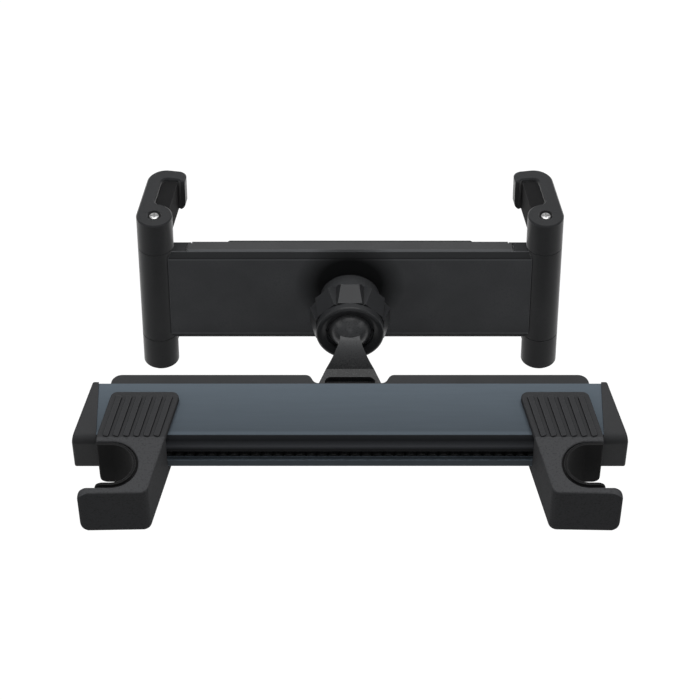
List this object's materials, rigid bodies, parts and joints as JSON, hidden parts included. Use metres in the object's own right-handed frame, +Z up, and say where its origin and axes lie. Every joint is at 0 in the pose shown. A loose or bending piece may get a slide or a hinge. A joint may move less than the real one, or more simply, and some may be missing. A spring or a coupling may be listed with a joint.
{
  "type": "headrest tablet mount",
  "caption": "Headrest bar with hooks that slide to clasp the posts, and a spring-loaded clamp with folding claws on a ball joint for a tablet.",
  "frame": {"origin": "midway between the axes of the two headrest posts, at half the height of the hooks", "axes": "+X along the bar, +Y towards the rear seat, +Z up along the posts"},
  "size_m": [0.1996, 0.1275, 0.0753],
  "materials": {
    "anodised_plate": "satin slate blue-grey anodised",
    "black_plastic": "fine matt moulded",
    "hook_plastic": "fine matt moulded",
    "nut_plastic": "satin moulded",
    "black_rubber": "matt",
    "steel_screws": "zinc plated",
    "spring_steel": "plain"
  },
  "bodies": {
    "headrest_bar": {"top_plate": "anodised_plate", "rail_body": "black_plastic", "tooth_rack": "black_plastic", "rear_cover": "black_plastic", "left_end_cap": "black_plastic", "right_end_cap": "black_plastic", "cap_screws": "steel_screws", "ball_stud": "black_plastic", "neck_screws": "steel_screws"},
    "left_hook_body": {"left_hook": "hook_plastic", "left_post_liner": "black_rubber", "left_detent_spring": "spring_steel", "left_detent_screw": "steel_screws"},
    "right_hook_body": {"right_hook": "hook_plastic", "right_post_liner": "black_rubber", "right_detent_spring": "spring_steel", "right_detent_screw": "steel_screws"},
    "ball_seat": {"friction_pad": "black_rubber"},
    "nut": {"lock_nut": "nut_plastic"},
    "clamp": {"back_cover": "black_plastic", "front_cover": "black_plastic", "front_pad": "black_rubber", "cover_screws": "steel_screws", "upper_spring": "spring_steel", "lower_spring": "spring_steel"},
    "gear": {"pinion": "black_plastic"},
    "left_arm_body": {"left_arm": "black_plastic", "left_hinge_screws": "steel_screws"},
    "right_arm_body": {"right_arm": "black_plastic", "right_hinge_screws": "steel_screws"},
    "upper_left_claw_body": {"upper_left_claw": "black_plastic", "upper_left_claw_pad": "black_rubber"},
    "upper_right_claw_body": {"upper_right_claw": "black_plastic", "upper_right_claw_pad": "black_rubber"},
    "lower_left_claw_body": {"lower_left_claw": "black_plastic", "lower_left_claw_pad": "black_rubber"},
    "lower_right_claw_body": {"lower_right_claw": "black_plastic", "lower_right_claw_pad": "black_rubber"}
  },
  "joints": [
    {"name": "left_hook_slide", "type": "slide", "parent": "headrest_bar", "child": "left_hook_body", "axis": [1, 0, 0], "range_m": [0, 0.032]},
    {"name": "right_hook_slide", "type": "slide", "parent": "headrest_bar", "child": "right_hook_body", "axis": [-1, 0, 0], "range_m": [0, 0.032]},
    {"name": "ball_pan", "type": "hinge", "parent": "headrest_bar", "child": "ball_seat", "pos_m": [0, 0.06145, 0.012], "axis": [0, 0, 1], "range_deg": [-18, 18]},
    {"name": "ball_tilt", "type": "hinge", "parent": "ball_seat", "child": "nut", "pos_m": [0, 0.06145, 0.012], "axis": [1, 0, 0], "range_deg": [-5, 40]},
    {"name": "ball_roll", "type": "hinge", "parent": "nut", "child": "clamp", "pos_m": [0, 0.06145, 0.012], "axis": [0, 0.9763, -0.2164], "continuous": true},
    {"name": "left_arm_slide", "type": "slide", "parent": "clamp", "child": "left_arm_body", "axis": [-1, 0, 0], "range_m": [0, 0.046], "stiffness_N_per_m": 70, "springref_m": -0.03, "deforming": ["upper_spring"]},
    {"name": "right_arm_slide", "type": "slide", "parent": "clamp", "child": "right_arm_body", "axis": [1, 0, 0], "range_m": [0, 0.046], "stiffness_N_per_m": 70, "springref_m": -0.03, "deforming": ["lower_spring"]},
    {"name": "pinion_turn", "type": "hinge", "parent": "clamp", "child": "gear", "pos_m": [0, 0.08068, 0.00774], "axis": [0, 0.9763, -0.2164], "range_deg": [-378, 0]},
    {"name": "upper_left_claw_fold", "type": "hinge", "parent": "left_arm_body", "child": "upper_left_claw_body", "pos_m": [-0.0713, 0.08783, 0.03488], "axis": [0, -0.2164, -0.9763], "range_deg": [0, 80]},
    {"name": "upper_right_claw_fold", "type": "hinge", "parent": "right_arm_body", "child": "upper_right_claw_body", "pos_m": [0.0713, 0.08783, 0.03488], "axis": [0, 0.2164, 0.9763], "range_deg": [0, 80]},
    {"name": "lower_left_claw_fold", "type": "hinge", "parent": "left_arm_body", "child": "lower_left_claw_body", "pos_m": [-0.0713, 0.07569, -0.01989], "axis": [0, -0.2164, -0.9763], "range_deg": [0, 80]},
    {"name": "lower_right_claw_fold", "type": "hinge", "parent": "right_arm_body", "child": "lower_right_claw_body", "pos_m": [0.0713, 0.07569, -0.01989], "axis": [0, 0.2164, 0.9763], "range_deg": [0, 80]}
  ],
  "couplings": [
    {"joint": "right_arm_slide", "follows": "left_arm_slide", "ratio": 1},
    {"joint": "pinion_turn", "follows": "left_arm_slide", "rad_per_m": -142.86}
  ]
}
